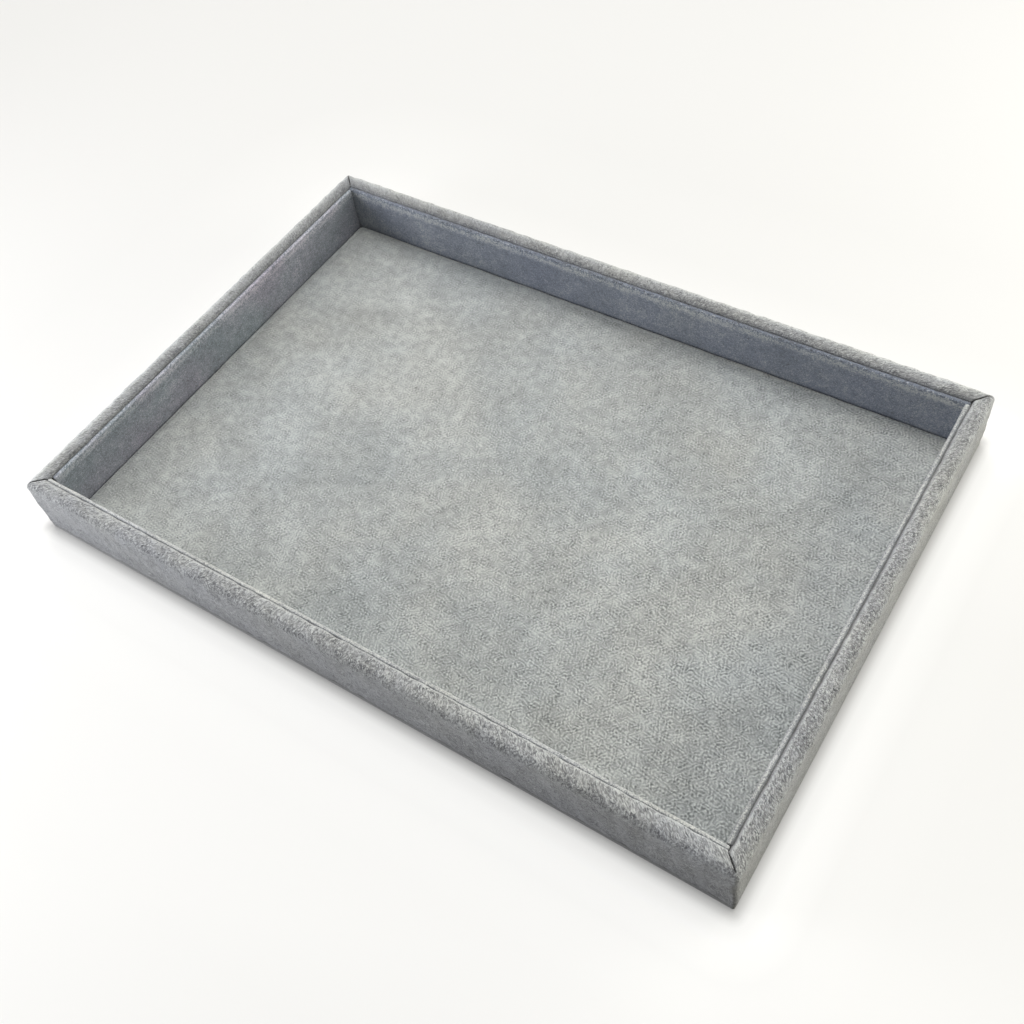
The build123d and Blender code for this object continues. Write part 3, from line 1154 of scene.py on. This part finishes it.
@dataclass(frozen=True)
class Liner:
    """A liner's cover: velvet over the face, top and ends of a thin strip of board."""

    side: Side
    tray_length: float
    tray_width: float
    finish: bpy.types.Material
    wrapped: float = 7.4  # from the frame's outer face to the liner's back
    thickness: float = 2.2
    bottom: float = 4.2
    top: float = 31.2
    top_radius: float = 0.9
    foot_radius: float = 0.4
    end_gap: float = 0.2
    end_radius: float = 0.55
    end_steps: int = 5
    board: float = 1.0  # its thickness
    turned: float = 0.5
    turned_end: float = 11.0  # of the cloth, round each end of the strip
    bare_back: float = 9.0  # of the board's back, between the cloth's two edges
    velvet: float = 0.7
    pitch: float = 1.1
    dip: float = 0.0  # how far the pile on the top is pressed down
    leans: tuple[float, float, float] = (0.0, 0.0, 0.0)  # of the top, at start, middle and end
    lean_above: Rise = (26.5, 3.0)  # a height
    unevenness: float = 0.05
    even_foot: float = 6.0  # the height of the foot that has no unevenness
    waviness: Waviness = Waviness(30.0, 6.0, 31)  # of the front liner; each next has the next seed
    cloth_apart: float = 400.0  # how far apart two sides lie in the cloth's pattern

    @property
    def length(self) -> float:
        """Long liners run from rail to rail, and the short ones butt between them."""
        span = self.tray_length if self.side.is_long else self.tray_width
        ends = self.wrapped if self.side.is_long else self.wrapped + self.thickness
        return span - 2 * (ends + self.end_gap)

    @property
    def reach(self) -> float:
        """The distance from the middle of the tray to the frame's outer face on this side."""
        return (self.tray_width if self.side.is_long else self.tray_length) / 2

    def outer_section(self) -> np.ndarray:
        """The strip's closed outline: inset from the frame's outer face, and height."""
        back, face, low = self.wrapped, self.wrapped + self.thickness, self.bottom
        r, f = self.top_radius, self.foot_radius
        top = self.top - self.dip
        return joined(
            straight((back, low + f), (back, top - r), 3.0),
            arc((back + r, top - r), r, 180, 90, 7),
            straight((back + r, top), (face - r, top), 0.4),
            arc((face - r, top - r), r, 90, 0, 7),
            straight((face, top - r), (face, low + f), 1.3),
            arc((face - f, low + f), f, 0, -90, 3),
            straight((face - f, low), (back + f, low), 2.0),
            arc((back + f, low + f), f, 270, 180, 3),
        )

    def inner_section(self) -> np.ndarray:
        """The outline of the board that the cover is wrapped round."""
        back = self.wrapped + self.turned
        face = back + self.board
        low, high = self.bottom + self.turned, self.top - self.velvet
        return np.array([(back, low), (back, high), (face, high), (face, low), (back, low)])

    def placed(self, section: np.ndarray, along: np.ndarray, inset: np.ndarray) -> Sheet:
        """Carries a section along the side, each point at its inset, its height and a column.

        Args:
            section: Rows of (inset, height), closed.
            along: The columns' distances from the side's middle.
            inset: How far the section shrinks at each column, along its normals.

        Returns:
            The grid, with its top leaning inwards by a parabola through the side's three values.
        """
        normal = side_normals(section)
        close = (normal[0] + normal[-1]) / np.linalg.norm(normal[0] + normal[-1])
        normal[0] = normal[-1] = close
        share = 2.0 * along / self.length
        lean = ease(section[:, 1:], *self.lean_above) * bowed(self.leans, share)
        across = section[:, :1] + normal[:, :1] * inset + lean - self.reach
        height = section[:, 1:] + normal[:, 1:] * inset
        turn = self.side.value * math.pi / 2
        points = on_side(np.broadcast_to(along, across.shape), across, height, turn)
        first = self.cloth_apart * self.side.value
        cloth = np.broadcast_arrays(along[None, :] + first, length_along(section)[:, None], 0.0)
        return Sheet(points, np.stack(cloth, axis=-1))

    def build(self) -> Finished:
        """Builds the outer skin and the wall of the hollow that holds the board."""
        half, r = self.length / 2, self.end_radius
        turn = np.linspace(0.0, 0.5 * math.pi, self.end_steps + 1)
        end = half - r + r * np.sin(turn)
        shrink = r * (1.0 - np.cos(turn))
        run = np.linspace(-half + r, half - r, round(2 * half / self.pitch) + 1)[1:-1]
        along = np.concatenate([-end[::-1], run, end])
        inset = np.concatenate([shrink[::-1], np.zeros(len(run)), shrink])
        section = self.outer_section()
        plain = self.placed(section, along, inset)
        waviness = replace(self.waviness, seed=self.waviness.seed + self.side.value)
        pile = section[:, 1:] > self.bottom + self.even_foot
        uneven = waviness.at(plain.points) * self.unevenness * pile
        name = self.side.name.lower()
        piece = made(f"{name}_liner_cover", [self.placed(section, along, inset + uneven)])
        ends = np.array([self.turned - half, half - self.turned])
        upright = replace(self, leans=(0.0, 0.0, 0.0))
        wall = upright.placed(self.inner_section(), ends, np.zeros(2))
        hollow = made(f"{name}_liner_hollow", [wall], inward=True)
        work = bmesh.new()
        work.from_mesh(piece.data)
        work.from_mesh(hollow.data)
        work.to_mesh(piece.data)
        work.free()
        bpy.data.objects.remove(hollow)
        piece.data.materials.append(self.finish)
        around = 2 * (self.top - self.bottom) - self.bare_back + 2 * self.thickness
        return Finished(
            piece,
            body="tray",
            node=f"{name}_liner_velvet",
            slot="liner_velvet",
            flat=(around * MM, (self.length + 2 * self.turned_end) * MM),
            rests_on=(f"{name}_liner_board",),
        )


@dataclass(frozen=True)
class CoveredPanel:
    """A board covered on one face, the velvet turned over its edges on to its other face."""

    name: str
    body: str
    node: str
    slot: str
    board: str
    ring: Ring
    finish: bpy.types.Material
    face: float  # height of the covered face
    back: float  # height of the turned margin's outer face
    face_radius: float  # of the edge beside the covered face
    back_radius: float
    margin: float  # from the panel's edge to the margin's inner edge
    velvet: float = 0.7
    turned: float = 0.5
    bend: float = 0.1  # of the cloth's inside, at the board's edges
    border: float = 3.0  # from the panel's edge to where the flat face begins
    cut_width: float = 0.3
    cut_depth: float = 0.42
    cut_inside: Rise = (1.0, 1.0)  # the inset over which the margin's cut opens
    set_in: float = 0.25  # how much of a column's setback is left where no cut opens
    unevenness: float = 0.05
    waviness: Waviness = Waviness(60.0, 9.0, 5)

    @property
    def up(self) -> float:
        """1 where the covered face is on top, and -1 where it is below."""
        return 1.0 if self.face > self.back else -1.0

    def section(self) -> tuple[np.ndarray, int]:
        """The section from the covered face round the edge to the margin, and back at the board.

        Returns:
            Rows of (inset, height), and how many of them lie on the pile's side.
        """
        f, b, v, margin = self.face_radius, self.back_radius, self.velvet, self.margin
        face, back = self.face * self.up, self.back * self.up
        under, over, bent = face - v, back + self.turned, v + self.bend
        outside = joined(
            straight((self.border, face), (f, face), 0.5),
            arc((f, face - f), f, 90, 180, 8),
            straight((0.0, face - f), (0.0, back + b), 0.8),
            arc((b, back + b), b, 180, 270, 4),
            straight((b, back), (margin, back), 2.0),
        )
        inside = joined(
            straight((margin, back), (margin, over), 1.0),
            straight((margin, over), (bent, over), 5.0),
            straight((bent, over), (v, over + self.bend), 1.0),
            straight((v, over + self.bend), (v, under - self.bend), 2.0),
            straight((v, under - self.bend), (bent, under), 1.0),
            straight((bent, under), (self.border, under), 3.0),
        )
        return joined(outside, inside) * np.array([1.0, self.up]), len(outside)

    def build(self) -> Finished:
        """Joins the ring round the edge to the face inside it, and closes it against the board."""
        section, outside = self.section()
        columns = self.ring.columns(self.cut_width)
        pile = (np.arange(len(section)) < outside)[:, None]
        on_margin = pile & (np.abs(section[:, 1:] - self.back) < SAME)
        opening = ease(section[:, :1], *self.cut_inside) * on_margin
        plain = self.ring.carry(section, columns, 0.0, self.set_in)
        uneven = self.waviness.at(plain.points) * self.unevenness * pile
        sink = (uneven + self.cut_depth * opening * columns.cut) * self.up
        spread = self.set_in + (1.0 - self.set_in) * opening
        ring = self.ring.carry(section, columns, sink, spread)
        middle = self.ring.face(plain.points[0], columns)
        middle.points[..., 2] -= self.up * self.waviness.at(middle.points) * self.unevenness
        piece = made(self.name, [ring, middle])
        piece.data.materials.append(self.finish)
        turn = self.margin + abs(self.face - self.back)
        width, length = self.ring.width + 2 * turn, self.ring.length + 2 * turn
        corners = 2 * self.margin**2  # the four triangles cut off
        return Finished(
            piece,
            body=self.body,
            node=self.node,
            slot=self.slot,
            flat=(width * MM, length * MM),
            rests_on=(self.board,),
            area=(width * length - corners) * MM * MM,
        )


# The studio


@dataclass(frozen=True)
class Camera:
    """The camera: where it stands, what it looks at, and how far it leans to the right."""

    place: tuple[float, float, float] = (220.465, -249.564, 419.425)
    aim: tuple[float, float, float] = (14.93, -14.91, 7.2)
    lean: float = 10.43  # degrees
    lens: float = 41.392
    sensor: float = 36.0
    clip: tuple[float, float] = (0.01, 50.0)  # metres

    def build(self) -> None:
        """Makes it the scene's camera."""
        data = bpy.data.cameras.new("camera")
        data.lens, data.sensor_width = self.lens, self.sensor
        data.clip_start, data.clip_end = self.clip
        camera = bpy.data.objects.new("camera", data)
        place, aim = Vector(self.place) * MM, Vector(self.aim) * MM
        look = (aim - place).to_track_quat("-Z", "Y")
        roll = Quaternion((0.0, 0.0, 1.0), -math.radians(self.lean))
        camera.rotation_mode = "QUATERNION"
        camera.rotation_quaternion = look @ roll
        camera.location = place
        bpy.context.scene.collection.objects.link(camera)
        bpy.context.scene.camera = camera


@dataclass(frozen=True)
class Lamp:
    """A soft square lamp, in metres, aimed at the tray."""

    name: str
    place: tuple[float, float, float]
    size: float
    power: float
    colour: str = "#ffffff"

    def build(self) -> None:
        """Adds the lamp."""
        data = bpy.data.lights.new(self.name, "AREA")
        data.shape, data.size, data.energy = "SQUARE", self.size, self.power
        data.color = linear(self.colour)[:3]
        lamp = bpy.data.objects.new(self.name, data)
        lamp.location = self.place
        lamp.rotation_mode = "QUATERNION"
        lamp.rotation_quaternion = (-Vector(self.place)).to_track_quat("-Z", "Y")
        bpy.context.scene.collection.objects.link(lamp)


@dataclass(frozen=True)
class Table:
    """A white laminate table, matt and clean, a hair below the tray.

    The camera sees it brighter than the light makes it, as an overexposed table looks. That added
    brightness is held low in the last few millimetres beside the tray, which paints a narrow shadow
    there.
    """

    body: str = "#999896"
    tooth: float = 2.5  # millimetres across a grain of the surface
    relief: float = 0.05
    reach: float = 6.0  # metres across
    below: float = 5e-5  # metres
    # Low close to the tray, the glow paints a narrow shadow there.
    glow: Steps = (  # what the camera alone sees added, at distances from the tray
        *((0.0, 0.17), (1.0, 0.28), (2.0, 0.34), (4.0, 0.52), (6.0, 0.61), (12.0, 0.63)),
        *((25.0, 0.53), (50.0, 0.49), (110.0, 0.455)),
    )
    glow_colour: str = "#fefefc"
    footprint: tuple[float, float] = (175.0, 120.0)  # half the tray's length and width
    shadow_shift: tuple[float, float] = (-0.7, 0.0)  # from the tray's middle to its painted shadow's
    lean: tuple[float, float] = (0.2, -0.5)  # added for a metre of X and Y, to even out the lamps
    lean_span: tuple[float, float] = (0.03, 0.11)  # from where that counts, and up to where
    far_glow: float = 0.3  # what is added where the lamps' light no longer reaches
    far_span: tuple[float, float] = (350.0, 2200.0)  # over which that grows

    def glowing(self, tree: Tree, place: Socket) -> bpy.types.Node:
        """What the camera sees added at each place.

        With p a point's place, c the painted shadow's middle and h half the tray's size, the
        distance from the tray is |max(|p - c| - h, 0)|.

        Args:
            tree: The material's tree.
            place: The place, in metres.

        Returns:
            The node whose first output is the added strength.
        """
        middle = (*(shift * MM for shift in self.shadow_shift), 0.0)
        half = (*(size * MM for size in self.footprint), 1.0)
        away = add(tree, "VectorMath", (place, middle), operation="SUBTRACT")
        away = add(tree, "VectorMath", (away,), operation="ABSOLUTE")
        away = add(tree, "VectorMath", (away, half), operation="SUBTRACT")
        away = add(tree, "VectorMath", (away, (0.0,) * 3), operation="MAXIMUM")
        away = add(tree, "VectorMath", (away,), operation="LENGTH").outputs["Value"]
        away = add(tree, "Math", (away, 1.0 / MM), operation="MULTIPLY")
        further = add(tree, "MapRange", (away, *self.far_span, 0.0, self.far_glow))
        slope = (place, (*self.lean, 0.0))
        lean = add(tree, "VectorMath", slope, operation="DOT_PRODUCT").outputs["Value"]
        least, most = self.lean_span
        lean = add(tree, "MapRange", (lean, least, most, 0.0, most - least))
        glow = stepped(tree, away, self.glow)
        for part in (further, lean):
            glow = add(tree, "Math", (glow, part), operation="ADD")
        return glow

    def material(self) -> bpy.types.Material:
        """Builds the laminate: a matt white face with a fine tooth, and the camera's own glow."""
        material, tree = blank("white_laminate_matt")
        place = add(tree, "TexCoord").outputs["Object"]
        fine = {"Vector": place, "Scale": 1.0 / (self.tooth * MM), "Detail": 2.0}
        grain = add(tree, "TexNoise", fine)
        raised = {"Height": grain, "Strength": 0.1, "Distance": self.relief * MM}
        surface = {
            "Base Color": linear(self.body),
            "Roughness": 0.75,
            "Specular IOR Level": 0.2,
            "Normal": add(tree, "Bump", raised),
        }
        seen = add(tree, "LightPath").outputs["Is Camera Ray"]
        strength = add(tree, "Math", (seen, self.glowing(tree, place)), operation="MULTIPLY")
        light = add(tree, "Emission", {"Color": linear(self.glow_colour), "Strength": strength})
        both = add(tree, "AddShader", (add(tree, "BsdfPrincipled", surface), light))
        add(tree, "OutputMaterial", (both,))
        return material

    def build(self) -> None:
        """Adds the table, as stage."""
        mesh = bpy.data.meshes.new("table")
        r, z = self.reach / 2, -self.below
        mesh.from_pydata([(-r, -r, z), (r, -r, z), (r, r, z), (-r, r, z)], [], [(0, 1, 2, 3)])
        table = bpy.data.objects.new("table", mesh)
        bpy.context.scene.collection.objects.link(table)
        mesh.materials.append(self.material())


@dataclass(frozen=True)
class Studio:
    """A white table under large soft lamps, with a white surround."""

    table: Table = Table()
    surround: str = "#f4f4f2"
    fill: float = 0.08  # how strongly the surround lights the matt surfaces
    lamps: tuple[Lamp, ...] = (
        Lamp("overhead", (0.0, 0.0, 1.6), 1.5, 9.9),
        Lamp("behind", (0.0, 0.547, 1.503), 1.0, 12.0),
        Lamp("behind_left", (-0.8, 0.8, 1.13), 1.0, 11.0, "#fffdf8"),
        Lamp("left_low", (-0.5, -0.3, 0.12), 0.35, 1.66, "#f6f8ff"),
        Lamp("left_near", (-0.38, -0.34, 0.16), 0.25, 0.97, "#f6f8ff"),
        Lamp("right_low", (0.487, 0.487, 0.122), 0.4, 3.57, "#fffdf1"),
        Lamp("right_near", (0.65, 0.15, 0.25), 0.4, 1.03, "#fffdf1"),
    )

    def world(self) -> bpy.types.World:
        """The surround: white to the eye and in mirrors, and a faint fill on all else."""
        world = bpy.data.worlds.new("surround")
        world.use_nodes = True
        tree = world.node_tree
        tree.nodes.clear()
        rays = add(tree, "LightPath").outputs
        seen: bpy.types.Node | float = 0.0
        for ray in ("Is Camera Ray", "Is Glossy Ray", "Is Transmission Ray"):
            seen = add(tree, "Math", (rays[ray], seen), operation="MAXIMUM")
        strength = add(tree, "MapRange", (seen, 0.0, 1.0, self.fill, 1.0))
        light = {"Color": linear(self.surround), "Strength": strength}
        add(tree, "OutputWorld", (add(tree, "Background", light),))
        return world

    def build(self) -> None:
        """Adds the table, the surround and the lamps."""
        self.table.build()
        bpy.context.scene.world = self.world()
        bpy.context.scene.view_settings.view_transform = "Standard"
        for lamp in self.lamps:
            lamp.build()


# Assembly


@dataclass(frozen=True)
class Boards:
    """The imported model's own solids, by the finish that each takes."""

    fibreboard: tuple[str, ...] = (
        "base_board",
        "front_rail",
        "right_rail",
        "back_rail",
        "left_rail",
    )
    greyboard: tuple[str, ...] = (
        "front_liner_board",
        "right_liner_board",
        "back_liner_board",
        "left_liner_board",
        "floor_pad_board",
    )
    card: tuple[str, ...] = ("floor_pad_backing",)
    wire: tuple[str, ...] = ("base_brads", "corner_brads")

    def dress(self, nodes: Mapping[str, bpy.types.Object]) -> None:
        """Puts each finish into its nodes' material slots.

        Args:
            nodes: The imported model's objects, by node.
        """
        for names, finish in (
            (self.fibreboard, FIBREBOARD),
            (self.greyboard, GREYBOARD),
            (self.card, CARD),
            (self.wire, WIRE),
        ):
            material = finish.material()
            for name in names:
                slots = nodes[name].data.materials
                slots.clear()
                slots.append(material)
                LOG.info("%s: %s", name, material.name)


@dataclass(frozen=True)
class Tray:
    """The whole tray: its outline and its pieces."""

    length: float = 350.0
    width: float = 240.0
    corner: float = 1.6
    base_inset: float = 0.3
    base_corner: float = 1.0
    pad_inset: float = 9.9
    pad_corner: float = 2.2

    def inset(self, inset: float, corner: float, pitch: float) -> Ring:
        """The tray's outline moved inwards, with corners of its own.

        Args:
            inset: How far it is moved.
            corner: The radius of its corners.
            pitch: The distance between its columns.

        Returns:
            The ring.
        """
        return Ring(self.length - 2 * inset, self.width - 2 * inset, corner, pitch)

    def base_panel(self) -> CoveredPanel:
        """The panel under everything, covered below, with its margin turned on to its top."""
        return CoveredPanel(
            name="base_panel_cover",
            body="tray",
            node="base_velvet_cover",
            slot="base_velvet",
            board="base_board",
            ring=self.inset(self.base_inset, self.base_corner, 2.0),
            finish=BASE_VELVET.material(),
            face=0.0,
            back=4.2,
            face_radius=0.6,
            back_radius=0.6,
            margin=16.7,
            unevenness=0.0,
        )

    def floor_pad(self) -> CoveredPanel:
        """The loose pad, covered above, with its margin turned under."""
        return CoveredPanel(
            name="floor_pad_cover",
            body="floor_pad",
            node="floor_pad_velvet",
            slot="floor_velvet",
            board="floor_pad_board",
            ring=self.inset(self.pad_inset, self.pad_corner, 1.8),
            finish=FLOOR_VELVET.material(),
            face=7.2,
            back=4.5,
            face_radius=1.6,
            back_radius=0.3,
            margin=14.7,
            unevenness=0.06,
        )

    def liners(self) -> list[Liner]:
        """The four liners, each with its own finish and its own small unevenness."""
        pressed = {"dip": 0.45, "unevenness": 0.02}
        # Each side's finish holds its own painted light and shade.
        fits = {
            Side.FRONT: (FRONT_LINER_VELVET, {"leans": (-0.7, 0.0, 0.0)}),
            Side.RIGHT: (RIGHT_LINER_VELVET, {"leans": (-0.25, -0.2, -0.2)}),
            Side.BACK: (BACK_LINER_VELVET, {"leans": (0.15, 0.2, 0.0), **pressed}),
            Side.LEFT: (LEFT_LINER_VELVET, {"leans": (0.1, 0.1, 0.1), **pressed}),
        }
        return [
            Liner(side, self.length, self.width, velvet.material(), **fit)
            for side, (velvet, fit) in fits.items()
        ]

    def build(self, nodes: Mapping[str, bpy.types.Object]) -> None:
        """Builds the pieces in the order in which they are put together.

        Args:
            nodes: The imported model's objects, by node.
        """
        wrap = FrameWrap(self.inset(0.0, self.corner, 1.1), FRAME_VELVET.material())
        for part in (self.base_panel(), wrap, *self.liners(), self.floor_pad()):
            part.build().declare()
        Boards().dress(nodes)


def main() -> None:
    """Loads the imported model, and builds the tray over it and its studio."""
    logging.basicConfig(level=logging.INFO, format="%(message)s")
    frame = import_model()
    Camera().build()
    Studio().build()
    Tray().build(frame["nodes"])
    bpy.context.view_layer.update()


if __name__ == "__main__":
    main()
